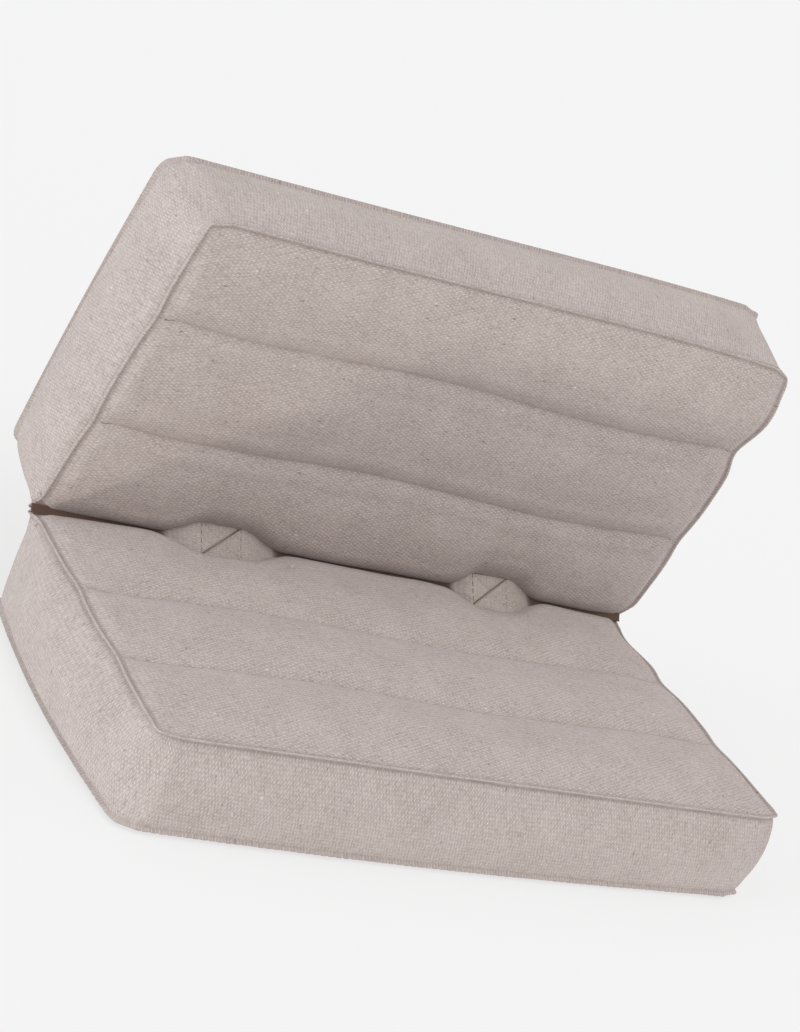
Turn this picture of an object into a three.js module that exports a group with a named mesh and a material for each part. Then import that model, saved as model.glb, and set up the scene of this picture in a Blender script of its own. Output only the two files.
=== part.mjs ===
// Folding yoga cushion: two box-sided filled halves joined along a hinge, standing open.
// Millimetres, +Z up. X runs along the hinge, and the lower half reaches from it towards -Y.
import * as THREE from 'three';
import { mergeVertices } from 'three/addons/utils/BufferGeometryUtils.js';

// Driving sizes of the pair, measured at the seams
const HINGE_LENGTH = 503;
const HALF_WIDTH = 245;
const BOXING_HEIGHT = 70;
const OPENING = THREE.MathUtils.degToRad(81);
// Each half's hinge seam stands back from the hinge line, except at the hinge's ends, where the
// corners are stitched together. The floor seam stands off the floor.
const HINGE_SETBACK = 3.5;
const END_SETBACK = 0.5;
const END_SETBACK_FROM = 18;
const END_SETBACK_FULL = 7;
const FLOOR_LIFT = 3;

// Seam ridge: how far it stands out from the boxing, and the groove beside it on the face
const RIDGE_OUT = 3;
const GROOVE_WIDTH = 5;
const GROOVE_DEPTH = 1.5;
// Corners are tight ears at the seams and rounder between them
const EAR_RADIUS = 6;
const WALL_RADIUS = 13;

// Filling: how far the faces and the boxing swell, and over what distance they rise from a seam
const FACE_CROWN = 10;
const SEAM_RISE = 40;
const SIDE_BULGE = 8;
const END_BULGE = 13;
const WALL_RISE = 60;
// Powers that make a channel's crest and the boxing's swell fuller than round
const CREST_POWER = 2.2;
const BULGE_POWER = 0.8;
// What is left of the crown in a sewn channel, and how far the channels wander from straight
const VALLEY_SHARE = 0.3;
const CHANNEL_WANDER = 3;
const WANDER_LENGTH = 300;
// A notch's half width across a channel, and how fast an end's shape fades towards the middle
const NOTCH_WIDTH = 16;
const END_FADE = 6;

// One row a half. channels are measured from its hinge seam, endRise is how far from its ends it is
// full, and the half on the floor has a flat outer face.
const HALVES = [
  { name: 'lower_cushion', onFloor: true, channels: [87, 163], endRise: 80, wanderPhase: 0.6 },
  { name: 'upper_cushion', onFloor: false, channels: [80, 168], endRise: 55, wanderPhase: 2.1 },
];
// One row an end of a half. hinge and far are how much the inner face is longer than the boxing's
// outer edge at its hinge corner and far corner, the bows are how much the inner and the outer seam
// swell between the corners, and notch is how far a channel's end draws the inner seam in.
const ENDS = [
  { half: 'lower_cushion', side: -1, hinge: 6, far: 0, innerBow: 1, outerBow: 11, notch: 2 },
  { half: 'lower_cushion', side: 1, hinge: 0, far: -1, innerBow: -3, outerBow: 4, notch: 8 },
  { half: 'upper_cushion', side: -1, hinge: 6, far: -8, innerBow: 0, outerBow: 6, notch: 2 },
  { half: 'upper_cushion', side: 1, hinge: 2, far: -3, innerBow: 5, outerBow: 4, notch: 7 },
];

// Hinge strip: a sheet in the crease that is pulled out flat under each box of stitching
const STRIP_THICKNESS = 1.5;
const STRIP_CLEARANCE = 0.35;
const STRIP_REACH = 5;
const STRIP_END_GAP = 10;
const FOLD_DEPTH = 2;
const BOX_REACH = 20;
const BOX_TAUTNESS = 0.85;
const BOX_FLAT = 18;
// One row a stitched box: its place along the hinge, and how far the cloth spreads on either side
const STITCHED_BOXES = [
  { place: -119, leftSpread: 52, rightSpread: 50 },
  { place: 113, leftSpread: 34, rightSpread: 62 },
];
// The faces are sewn down under the boxes as far as the first distance and full again at the second,
// and the dimple is this much wider than the spread of the strip on either side
const DIMPLE_FULL = 22;
const DIMPLE_END = 46;
const DIMPLE_MARGIN = 16;

const ALONG_STEPS = 26;
const ALONG_ENDS = [0, GROOVE_WIDTH, 14, 30];
const LOBE_SHARES = [0.1, 0.28, 0.5, 0.72, 0.9];
const WALL_ROWS = [0, GROOVE_WIDTH, 18, BOXING_HEIGHT / 2];
const STRIP_STEPS = [44, 5];
const TANGENT_STEP = 0.05;

const CLOTH_COLOUR = '#c3bab4';
const STRIP_COLOUR = '#b7aca4';

const HINGE = new THREE.Vector3(0, 0, FLOOR_LIFT + BOXING_HEIGHT);
const UP_UPPER_FACE = new THREE.Vector3(0, -Math.cos(OPENING), Math.sin(OPENING));
const OUT_LOWER_FACE = new THREE.Vector3(0, -1, 0);
// Directions in which each inner face looks, into the space between the halves
const UPPER_FACING = new THREE.Vector3(0, -Math.sin(OPENING), -Math.cos(OPENING));
const LOWER_FACING = new THREE.Vector3(0, 0, 1);

const { clamp, lerp, smoothstep } = THREE.MathUtils;

// Quarter ellipse: 0 at a seam, steep at first, and 1 from the given distance on
function rise(distance, span) {
  const rest = 1 - clamp(distance / span, 0, 1);
  return Math.sqrt(1 - rest * rest);
}

// How far the cloth at s is pulled out by a box of stitching, from 0 to 1
function boxPull(s, margin = 0) {
  let pull = 0;
  for (const box of STITCHED_BOXES) {
    const spread = s < box.place ? box.leftSpread : box.rightSpread;
    const offset = Math.abs(s - box.place) - margin;
    pull = Math.max(pull, 1 - smoothstep(offset, BOX_FLAT, spread));
  }
  return pull;
}

// 0 in a sewn channel, 1 on the crest between two
function lobe(t, channels) {
  const edges = [0, ...channels, HALF_WIDTH];
  for (let i = 1; i < edges.length; i += 1) {
    if (t <= edges[i]) {
      const share = (t - edges[i - 1]) / (edges[i] - edges[i - 1]);
      return Math.sqrt(1 - Math.abs(2 * share - 1) ** CREST_POWER);
    }
  }
  return 0;
}

// Height of the filled face over its seams
function crown(half, s, t, inner) {
  const end = HINGE_LENGTH / 2 - Math.abs(s) - GROOVE_WIDTH;
  const side = Math.min(t, HALF_WIDTH - t) - GROOVE_WIDTH;
  const flat = half.onFloor && !inner;
  const height = flat ? 2 * FACE_CROWN : FACE_CROWN;
  const valley = flat ? 0 : VALLEY_SHARE;
  const swell = valley + (1 - valley) * lobe(t, half.channels);
  const sewnDown = inner ? boxPull(s, DIMPLE_MARGIN) * (1 - smoothstep(t, DIMPLE_FULL, DIMPLE_END)) : 0;
  const full = height * rise(end, half.endRise) * rise(side, SEAM_RISE) * swell * (1 - sewnDown);
  return flat ? Math.min(full, FLOOR_LIFT + GROOVE_DEPTH) : full;
}

// Moves a point of the rectangular outline that is in a corner onto a round corner
function roundCorner(point, radius) {
  const x = Math.abs(point.x) - (HINGE_LENGTH / 2 - radius);
  const y = Math.abs(point.y - HALF_WIDTH / 2) - (HALF_WIDTH / 2 - radius);
  if (x > 0 && y > 0) {
    point.x += Math.sign(point.x) * x * (Math.sqrt(1 - 0.5 * (y / radius) ** 2) - 1);
    point.y += Math.sign(point.y - HALF_WIDTH / 2) * y * (Math.sqrt(1 - 0.5 * (x / radius) ** 2) - 1);
  }
}

// How far the cushion's end on the side of s reaches past the plain box at (t, h)
function endReach(half, s, t, h) {
  const row = ENDS.find((end) => end.half === half.name && end.side === (s < 0 ? -1 : 1));
  const inwards = h / BOXING_HEIGHT;
  const share = t / HALF_WIDTH;
  const corner = lerp(row.hinge, row.far, share) * inwards;
  const bow = lerp(row.outerBow, row.innerBow, inwards) * Math.sin(Math.PI * share);
  let notch = 0;
  for (const channel of half.channels) {
    notch += Math.exp(-(((t - channel) / NOTCH_WIDTH) ** 2));
  }
  const nearEnd = (2 * Math.abs(s) / HINGE_LENGTH) ** END_FADE;
  return corner + (bow - row.notch * inwards * notch) * nearEnd;
}

// A point of the flat-sided box at (s, t, h) moved to its place on the filled cushion
function fill(half, s, t, h) {
  const end = HINGE_LENGTH / 2;
  const onFace = h === 0 || h === BOXING_HEIGHT;
  const onEnd = Math.abs(s) === end;
  const onSide = t === 0 || t === HALF_WIDTH;
  const point = new THREE.Vector3(s, t, h);
  if (onFace) {
    roundCorner(point, EAR_RADIUS);
  } else {
    const arch = Math.sin(Math.PI * h / BOXING_HEIGHT) ** BULGE_POWER;
    const endBulge = END_BULGE * arch * rise(Math.min(t, HALF_WIDTH - t), WALL_RISE);
    const sideBulge = SIDE_BULGE * arch * rise(end - Math.abs(s), WALL_RISE);
    roundCorner(point, WALL_RADIUS);
    point.x += onEnd ? Math.sign(s) * (endBulge - RIDGE_OUT) : 0;
    point.y += onSide ? Math.sign(t - HALF_WIDTH / 2) * (sideBulge - RIDGE_OUT) : 0;
  }
  const wander = CHANNEL_WANDER * Math.sin(2 * Math.PI * s / WANDER_LENGTH + half.wanderPhase);
  point.y += wander * Math.sin(Math.PI * t / HALF_WIDTH);
  point.x *= 1 + endReach(half, s, t, h) / end;
  if (onFace && !onEnd && !onSide) {
    const inner = h === BOXING_HEIGHT;
    const height = crown(half, s, t, inner) - GROOVE_DEPTH;
    point.z += inner ? height : -height;
  }
  return point;
}

// Distances of the rows of points along, across and up the box
function alongRows() {
  const end = HINGE_LENGTH / 2;
  const inner = end - ALONG_ENDS[ALONG_ENDS.length - 1];
  const rows = ALONG_ENDS.map((gap) => gap - end);
  for (let i = 1; i < ALONG_STEPS; i += 1) {
    rows.push(lerp(-inner, inner, i / ALONG_STEPS));
  }
  return rows.concat(ALONG_ENDS.map((gap) => end - gap).reverse());
}

function acrossRows(channels) {
  const edges = [GROOVE_WIDTH, ...channels, HALF_WIDTH - GROOVE_WIDTH];
  const rows = [0];
  for (let i = 0; i < edges.length - 1; i += 1) {
    rows.push(edges[i]);
    for (const share of LOBE_SHARES) {
      rows.push(lerp(edges[i], edges[i + 1], share));
    }
  }
  return rows.concat([HALF_WIDTH - GROOVE_WIDTH, HALF_WIDTH]);
}

function upRows() {
  const mirrored = WALL_ROWS.slice(0, -1).map((row) => BOXING_HEIGHT - row);
  return WALL_ROWS.concat(mirrored.reverse());
}

function rowAt(rows, unit) {
  return rows[Math.round((unit + 0.5) * (rows.length - 1))];
}

// A closed box with its rows of points at the given distances, each moved by the given function
function shapedBox(rowsX, rowsY, rowsZ, move) {
  const box = new THREE.BoxGeometry(1, 1, 1, rowsX.length - 1, rowsY.length - 1, rowsZ.length - 1);
  box.deleteAttribute('normal');
  box.deleteAttribute('uv');
  const closed = mergeVertices(box, 1e-5);
  const points = closed.attributes.position;
  for (let i = 0; i < points.count; i += 1) {
    const moved = move(
      rowAt(rowsX, points.getX(i)),
      rowAt(rowsY, points.getY(i)),
      rowAt(rowsZ, points.getZ(i)),
    );
    points.setXYZ(i, moved.x, moved.y, moved.z);
  }
  closed.computeVertexNormals();
  return closed;
}

function clothMaterial(colour) {
  return new THREE.MeshStandardMaterial({ color: colour, roughness: 0.95, metalness: 0 });
}

// One filled half, from its own (along, across, up) distances to its place beside the hinge
function cushionHalf(half) {
  const across = half.onFloor ? OUT_LOWER_FACE : UP_UPPER_FACE;
  const facing = half.onFloor ? LOWER_FACING : UPPER_FACING;
  const rowsAcross = acrossRows(half.channels);
  // The lower half reaches backwards, so its rows run the other way to keep its faces outwards
  const orderedRows = half.onFloor ? [...rowsAcross].reverse() : rowsAcross;
  const end = HINGE_LENGTH / 2;
  const geometry = shapedBox(alongRows(), orderedRows, upRows(), (s, t, h) => {
    const local = fill(half, s, t, h);
    const place = HINGE.clone();
    const setback = smoothstep(end - Math.abs(s), END_SETBACK_FULL, END_SETBACK_FROM);
    place.addScaledVector(across, local.y + lerp(END_SETBACK, HINGE_SETBACK, setback));
    place.addScaledVector(facing, local.z - BOXING_HEIGHT);
    place.x += local.x;
    return place;
  });
  const mesh = new THREE.Mesh(geometry, clothMaterial(CLOTH_COLOUR));
  mesh.name = half.name;
  return mesh;
}

// The strip's middle line across the crease at s: share 0 is its lower edge and 1 its upper edge
function stripLine(s, share) {
  const pull = boxPull(s);
  const reach = lerp(STRIP_REACH, BOX_REACH, pull);
  const off = STRIP_THICKNESS / 2 + STRIP_CLEARANCE;
  const upper = HINGE.clone().addScaledVector(UP_UPPER_FACE, reach).addScaledVector(UPPER_FACING, off);
  const lower = HINGE.clone().addScaledVector(OUT_LOWER_FACE, reach).addScaledVector(LOWER_FACING, off);
  const inward = UP_UPPER_FACE.clone().add(OUT_LOWER_FACE).normalize();
  const fold = HINGE.clone().addScaledVector(inward, FOLD_DEPTH);
  const taut = upper.clone().lerp(lower, 0.5);
  const control = fold.lerp(taut, BOX_TAUTNESS * pull);
  const place = new THREE.QuadraticBezierCurve3(lower, control, upper).getPoint(share);
  place.x = s;
  return place;
}

function hingeStrip() {
  const end = HINGE_LENGTH / 2 - STRIP_END_GAP;
  const [stepsAlong, stepsAcross] = STRIP_STEPS;
  const rowsAlong = Array.from({ length: stepsAlong + 1 }, (_, i) => lerp(-end, end, i / stepsAlong));
  const rowsAcross = Array.from({ length: stepsAcross + 1 }, (_, i) => i / stepsAcross);
  const rowsThick = [-STRIP_THICKNESS / 2, STRIP_THICKNESS / 2];
  const geometry = shapedBox(rowsAlong, rowsAcross, rowsThick, (s, share, off) => {
    const place = stripLine(s, share);
    const before = stripLine(s, Math.max(share - TANGENT_STEP, 0));
    const after = stripLine(s, Math.min(share + TANGENT_STEP, 1));
    const tangent = after.sub(before).normalize();
    const normal = new THREE.Vector3(1, 0, 0).cross(tangent);
    return place.addScaledVector(normal, off);
  });
  const mesh = new THREE.Mesh(geometry, clothMaterial(STRIP_COLOUR));
  mesh.name = 'hinge_strip';
  return mesh;
}

const cushion = new THREE.Group();
for (const half of HALVES) {
  cushion.add(cushionHalf(half));
}
cushion.add(hingeStrip());

// The origin is on the floor under the middle of the whole cushion
const bounds = new THREE.Box3().setFromObject(cushion);
const middle = bounds.getCenter(new THREE.Vector3());
cushion.position.set(-middle.x, -middle.y, -bounds.min.z);

export default cushion;
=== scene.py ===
"""A folding yoga cushion of undyed handloom cotton: two filled, boxed halves on a hinge, standing open.

All sizes are in metres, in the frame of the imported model: +Z up, X along the hinge. The lower half lies
towards -Y from the hinge, and the upper half stands on it and leans a little over the lower one.
"""
import math

import bmesh
import bpy
from mathutils import Matrix, Vector, noise


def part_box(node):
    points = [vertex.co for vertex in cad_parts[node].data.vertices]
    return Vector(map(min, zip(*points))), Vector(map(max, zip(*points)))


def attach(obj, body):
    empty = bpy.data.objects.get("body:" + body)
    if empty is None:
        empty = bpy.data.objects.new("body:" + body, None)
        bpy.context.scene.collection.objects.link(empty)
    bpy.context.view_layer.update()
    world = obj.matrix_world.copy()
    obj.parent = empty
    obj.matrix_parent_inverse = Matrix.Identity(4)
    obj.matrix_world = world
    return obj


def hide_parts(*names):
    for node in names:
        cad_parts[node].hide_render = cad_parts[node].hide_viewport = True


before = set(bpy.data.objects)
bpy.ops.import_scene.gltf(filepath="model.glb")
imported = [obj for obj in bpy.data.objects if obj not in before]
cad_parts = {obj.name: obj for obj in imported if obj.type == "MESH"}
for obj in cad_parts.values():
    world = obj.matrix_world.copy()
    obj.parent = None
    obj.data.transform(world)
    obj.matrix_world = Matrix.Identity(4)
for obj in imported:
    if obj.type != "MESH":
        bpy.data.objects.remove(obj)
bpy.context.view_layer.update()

# Driving sizes of the pair, measured at the seams
HINGE_LENGTH = 0.503
HALF_WIDTH = 0.245
BOXING_HEIGHT = 0.070
OPENING = math.radians(81)
# Each half's hinge seam stands back from the hinge line, but less at the hinge's ends
HINGE_SETBACK = 0.0035
END_SETBACK = 0.0005
END_SETBACK_FROM = 0.018
END_SETBACK_FULL = 0.007
FLOOR_LIFT = 0.003
# The bulge of the lower half's wall at the hinge, which is held in there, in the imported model
HINGE_WALL_BULGE = 0.005

# Filling: how far the faces and the boxing swell, and over what distance they rise from a seam. The
# channels and seams wander a little along the hinge, and the cover is uneven.
FACE_CROWN = 0.010
SEAM_RISE = 0.040
HINGE_RISE = 0.028
SIDE_BULGE = 0.008
END_BULGE = 0.013
WALL_RISE = 0.070
BULGE_POWER = 0.8
CHANNEL_WANDER = 0.003
WANDER_LENGTH = 0.300
END_FADE = 6
FAR_BOW_REACH = 0.060
RADIUS_BLEND = 0.016
UNEVENNESS = 0.0012
UNEVEN_LENGTH = 0.045

# The seam allowances stand out as a flat ridge. Each cut across it has its distance from the ridge's
# tip, and how far it stands up from the face or out from the boxing.
RIDGE_ON_FACE = (
    (0.0, -0.0008),
    (0.0008, 0.0),
    (0.0016, 0.0002),
    (0.0024, -0.0003),
    (0.0032, -0.0012),
    (0.0054, -0.0005),
)
RIDGE_ON_BOXING = (
    (0.0, 0.0),
    (0.0010, -0.0003),
    (0.0018, -0.0014),
    (0.0027, -0.0028),
    (0.0050, -0.0026),
    (0.0085, -0.0022),
)
FACE_GROOVE = RIDGE_ON_FACE[4][0]
BOXING_GROOVE = RIDGE_ON_BOXING[3][0]
FACE_SEAM_WIDTH = RIDGE_ON_FACE[-1][0]
BOXING_SEAM_WIDTH = RIDGE_ON_BOXING[-1][0]

# Where the channels are sewn, how much of the crown is left in them, and how round the filling is
# between them. A sag below 1 moves its crest towards the hinge. end_rise is how far from an end the
# crown is full. The far edge bows out at its outer and inner seam, a bow_sag above 1 moves the crest of
# that bow to the right, and far_tilts push its right end out.
HALVES = {
    "lower_cushion": dict(
        on_floor=True, channels=(0.087, 0.163), valley=0.05, roundness=2.4, sag=0.9, end_rise=0.080,
        wander_phase=0.6, far_bows=(0.006, 0.001), far_tilts=(0.0, 0.0), bow_sag=0.9,
    ),
    "upper_cushion": dict(
        on_floor=False, channels=(0.080, 0.168), valley=0.2, roundness=2.1, sag=0.8, end_rise=0.055,
        wander_phase=2.1, far_bows=(0.002, 0.004), far_tilts=(0.006, 0.0), bow_sag=2.5,
    ),
}
# The shape of each end. hinge and far: how much its outer and its inner seam are longer than the plain
# box at those corners. bows: how far the two seams bow out between them. dips: where along the inner
# seam it is drawn in, how deep and how wide, and a dip below 0 stands out. The radii are those of the
# upright corners at the outer seam, half way up and at the inner seam. fills: how much of the boxing's
# bulge is left at the hinge and far corners.
ENDS = {
    ("lower_cushion", -1): dict(
        hinge=(0.005, 0.003), far=(0.0, 0.0), bows=(0.009, 0.001), fills=(0.2, 0.4),
        dips=((0.0, -0.005, 0.006), (0.087, 0.002, 0.016), (0.163, 0.002, 0.016)),
        hinge_radii=(0.012, 0.012, 0.004), far_radii=(0.010, 0.022, 0.008),
    ),
    ("lower_cushion", 1): dict(
        hinge=(0.0, -0.003), far=(0.004, 0.001), bows=(0.004, -0.003), fills=(0.0, 0.6),
        dips=((0.032, 0.0085, 0.025), (0.087, 0.006, 0.016), (0.163, 0.003, 0.016)),
        hinge_radii=(0.010, 0.010, 0.004), far_radii=(0.006, 0.008, 0.009),
    ),
    ("upper_cushion", -1): dict(
        hinge=(0.005, 0.002), far=(0.004, -0.008), bows=(0.002, 0.0), fills=(0.2, 0.4),
        dips=((0.0, -0.006, 0.006), (0.080, 0.002, 0.016), (0.168, 0.002, 0.016)),
        hinge_radii=(0.014, 0.012, 0.004), far_radii=(0.013, 0.022, 0.007),
    ),
    ("upper_cushion", 1): dict(
        hinge=(0.0, 0.005), far=(0.0, -0.004), bows=(0.004, 0.005), fills=(0.0, 0.0),
        dips=((0.0, 0.010, 0.009), (0.080, 0.003, 0.016), (0.168, 0.007, 0.016), (0.205, -0.006, 0.025)),
        hinge_radii=(0.010, 0.010, 0.004), far_radii=(0.005, 0.010, 0.010),
    ),
}

# The strip in the crease, pulled out flat under each box of stitching
STRIP_THICKNESS = 0.0012
STRIP_CLEARANCE = 0.0006
STRIP_REACH = 0.0065
STRIP_END_GAP = 0.001
STRIP_SEGMENTS = (240, 12)
FOLD_DEPTH = 0.005
BOX_REACH = dict(upper=0.020, lower=0.026)
BOX_TAUTNESS = 0.85
BOX_FLAT = 0.0155
# A box's place along the hinge, and how far from there the strip's edges on the upper and the lower
# face spread before they are back in the crease. Beside it the faces rise from the strip's edges over
# the hinge's rise times its lip.
STITCHED_BOXES = (
    dict(place=-0.1175, upper_left=0.044, upper_right=0.056, lower_left=0.052, lower_right=0.064, lip=1.0),
    dict(place=0.113, upper_left=0.030, upper_right=0.050, lower_left=0.034, lower_right=0.062, lip=2.2),
)

# The halves press together in the crease, from this far out, with half this gap on either side. Towards
# the left end the crease stands open, from its place as far as its reach on either side.
CREASE_MOUTH = 0.009
CREASE_GAP = 0.0005
OPEN_CREASE = dict(place=-0.195, reach=0.05, gap=0.0010)

# Rows of the cover's mesh: their usual distance, and those on either side of a sewn channel
CELL = 0.0046
CHANNEL_ROWS = (0.0, 0.0012, 0.0030, 0.0058, 0.0095)

# The filling presses on the cover for some frames. The cover moves no further than the cap, a channel
# holds it as far as CHANNEL_HOLD on either side, and the wall at the hinge is held by HINGE_WALL_HOLD.
SWELL_PRESSURE = 4.0
SWELL_FRAMES = 20
SWELL_CAP = 0.0016
CHANNEL_HOLD = 0.022
HINGE_WALL_HOLD = 0.8
CLOTH_QUALITY = 5
CLOTH_MASS = 0.3

# The handloom cloth: its stout warp threads lie this far apart and its fine weft threads this far
WARP_PITCH = 0.0029
WEFT_PITCH = 0.00116
# How much a thread's height changes with its thickness
WARP_GAIN = 0.4
WEFT_GAIN = 1.0
# A thread keeps its thickness over about this length. The step keeps neighbouring threads apart in it.
SPUN_LENGTH = 0.012
THREAD_STEP = 7.31
# The threads are pushed out of line in waves of this size, by this much
THREAD_SWAYS = ((0.025, 0.0012), (0.005, 0.0003))
# How much each pattern lightens the cloth, from this lightness
DARKEST = -0.46
WEAVE_SHARE = 0.66
TONE_SHARE = 0.45
FUZZ_SHARE = 0.35
PATCH_SHARE = 0.25
FUZZ_SIZE = 0.0011
PATCH_SIZE = 0.030
TONE_RELIEF = 0.4
WEAVE_RELIEF = 0.0004
WEAVE_RELIEF_STRENGTH = 0.6
CLOTH_ROUGHNESS = 0.95
CLOTH_SHEEN = 0.15
THREAD_ROUGHNESS = 0.9
COTTON_SPECULAR = 0.2
# Seed flecks along the weft and the warp, long ones first, and pale slubs. Each row has its colour, its
# turn on the cloth, the size of its cells, how far a fleck reaches in its cell, and its strength.
FLECKS = (
    ("6A5A52", 0.0, 0.013, 0.11, 0.6),
    ("6A5A52", math.pi / 2, 0.012, 0.11, 0.6),
    ("6A5A52", 0.0, 0.005, 0.14, 0.4),
    ("6A5A52", math.pi / 2, 0.0045, 0.14, 0.4),
    ("E8DED6", 0.4, 0.016, 0.09, 0.7),
)
FLECK_SLIMNESS = 0.4
FLECK_EDGE = 40.0
# The light and the dark colour of each cloth, its colour under painted shade and thread in the seam grooves,
# channels and crease, and the colours of the threads
COVER_COLOURS = ("CFC4C0", "93857F", "6B5850")
STRIP_COLOURS = ("C8BCB7", "8C7F78", "5E483C")
PALE_THREAD = "CFC4BE"
CHANNEL_THREAD = "B2A59E"
LACING_THREAD = "84705F"
BOX_THREAD = "A08C7F"
TWIST_SCALE = 700.0
TWIST_SHADE = 0.6
# Painted shade along each seam's groove and each sewn channel, standing in for the shadow in them as well as
# the darkening of thread and needle holes: its width and how strong it is
SHADE_WIDTH = 0.0011
FACE_SHADE = 0.32
CHANNEL_SHADE = 0.2
BOXING_SHADE = 0.2
# The painted shade of the crease: how strong on each half's face, and how far it reaches from the hinge
CREASE_SHADE = dict(upper=0.40, lower=0.25)
CREASE_SHADE_REACH = dict(upper=0.020, lower=0.004)
# The strip is out of that shade once it is pulled out by this share
CREASE_SHADE_PULL = 0.2
# How much of the painted seam shade the outer seams have
OUTER_SEAM_SHADE = 0.3

# How many sides and rings a bead of thread has, and the least weight with which cloth counts as held
BEAD_SIDES = 6
BEAD_RINGS = 4
LEAST_HOLD = 0.001
# Stitches: their thickness, their length and the step from one to the next. A ridge stitch goes from
# its lap beside the ridge's tip to its width across the face or its drop down the boxing. It slants
# along the seam, and the stitches stop short of the corner. The lacing lies its inset from the crease.
RIDGE_STITCH = dict(
    thickness=0.0015, step=0.0029, slant=0.0017, lap=0.0004, width=0.0026, drop=0.0020, corner=0.012,
)
# A ridge stitch usually has this share of its thickness, and it varies by up to about half of the
# second share, in waves along the seam that are different on each side
RIDGE_STITCH_USUAL = 0.9
RIDGE_STITCH_VARIES = 0.5
RIDGE_STITCH_WAVES = 60
RIDGE_STITCH_SIDES = 40
CHANNEL_STITCH = dict(thickness=0.0005, length=0.0030, step=0.0052)
BOX_STITCH = dict(thickness=0.0007, step=0.0028)
LACING_STITCH = dict(thickness=0.0006, step=0.0034, count=4, inset=0.0026)
KNOT_SIZE = 0.0016
KNOT_RISE = 0.2
# The strip's front is found from two points this share of its width to either side
FRONT_STEP = 0.02
# Each box of stitches starts and ends at these shares of the way across the strip
BOX_STITCHED_SHARES = (0.10, 0.94)
# Its rows of stitches, with how thick each looks and how much of each step a stitch covers
BOX_ROWS = (
    ("top_left", "low_left", 1.0, 0.4),
    ("top_right", "low_right", 0.8, 0.4),
    ("top_right", "low_left", 0.5, 0.9),
    ("top_left", "low_right", 0.45, 0.9),
    ("top_left", "top_right", 0.5, 0.5),
)

# Camera and light
VIEW_TARGET = (0.0251, 0.0982, 0.1188)
VIEW_AZIMUTH = math.radians(36.6)
VIEW_ELEVATION = math.radians(21.9)
VIEW_ROLL = math.radians(26.95)
VIEW_DISTANCE = 1.851
VIEW_LENS = 90.06
SENSOR_WIDTH = 36
STUDIO_COLOUR = "F3F3F3"
FLOOR_COLOUR = "888888"
FLOOR_GLOW = 0.73
FLOOR_SIZE = 20
FLOOR_GAP = 0.0003
SKY_STRENGTH = 0.76
# Each light's way, strength, spread in degrees and colour
SOFT_LIGHTS = dict(
    front_light=((0.0, 0.5, -0.87), 0.80, 30, "FFFFFF"),
    top_left_light=((0.7, 0.0, -0.7), 0.18, 30, "FFFFFF"),
    left_light=((1.0, 0.0, -0.15), 1.36, 40, "F1F8FF"),
    right_light=((-1.0, 0.0, -0.15), 0.62, 40, "FFF6EE"),
)
# The low light from the left, in the same order
LOW_LIGHT = ((0.6, 0.59, 0.54), 0.58, 5, "FFFAF4")

LOWER_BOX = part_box("lower_cushion")
STRIP_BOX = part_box("hinge_strip")
HINGE = Vector((
    (STRIP_BOX[0].x + STRIP_BOX[1].x) / 2,
    LOWER_BOX[1].y - HINGE_WALL_BULGE + HINGE_SETBACK,
    LOWER_BOX[0].z + FLOOR_LIFT + BOXING_HEIGHT,
))
UP_UPPER_FACE = Vector((0, -math.cos(OPENING), math.sin(OPENING)))
OUT_LOWER_FACE = Vector((0, -1, 0))
UPPER_FACING = Vector((0, -math.sin(OPENING), -math.cos(OPENING)))
LOWER_FACING = Vector((0, 0, 1))


def clamp(value, low=0.0, high=1.0):
    return max(low, min(high, value))


def mix(a, b, share):
    return a + (b - a) * share


def smooth(value, start, stop):
    share = clamp((value - start) / (stop - start))
    return share * share * (3 - 2 * share)


def rise(distance, span):
    """Quarter ellipse: 0 at a seam, steep at first, and 1 from the given distance on."""
    rest = 1 - clamp(distance / span)
    return math.sqrt(1 - rest * rest)


def along_table(table, distance):
    """A value between the rows of a table of distances and values."""
    for (near, low), (far, high) in zip(table, table[1:]):
        if distance <= far:
            return mix(low, high, (distance - near) / (far - near))
    return table[-1][1]


def box_pull(s, edge):
    """How far the strip's edge on the "upper" or "lower" face is pulled out at s, from 0 to 1."""
    pull = 0.0
    for box in STITCHED_BOXES:
        side = "left" if s < box["place"] else "right"
        pull = max(pull, 1 - smooth(abs(s - box["place"]), BOX_FLAT, box[f"{edge}_{side}"]))
    return pull


def lobe(half, t):
    """0 in a sewn channel, 1 on the crest between two."""
    edges = (0.0, *half["channels"], HALF_WIDTH)
    for near, far in zip(edges, edges[1:]):
        if t <= far:
            share = ((t - near) / (far - near)) ** half["sag"]
            return 1 - abs(2 * share - 1) ** half["roundness"]
    return 0.0


def crease_gap(s):
    """Half the gap between the halves at the crease's mouth."""
    opened = 1 - smooth(abs(s - OPEN_CREASE["place"]), 0.0, OPEN_CREASE["reach"])
    return mix(CREASE_GAP, OPEN_CREASE["gap"], opened)


def edge_distance(s, t, inner):
    """Distance to the nearest seam ridge of a face. The inner face has none at the hinge."""
    end = HINGE_LENGTH / 2
    return min(end - abs(s), HALF_WIDTH - t, end if inner else t)


def outer_crown(half, s, t):
    """Height of a half's outer face over its seams. On the floor it is pressed flat."""
    end = HINGE_LENGTH / 2 - abs(s) - FACE_SEAM_WIDTH
    side = min(t, HALF_WIDTH - t) - FACE_SEAM_WIDTH
    height = FACE_CROWN * rise(end, half["end_rise"]) * rise(side, SEAM_RISE)
    if half["on_floor"]:
        return min(2 * height * lobe(half, t), FLOOR_LIFT)
    return height * mix(half["valley"], 1, lobe(half, t))


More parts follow.
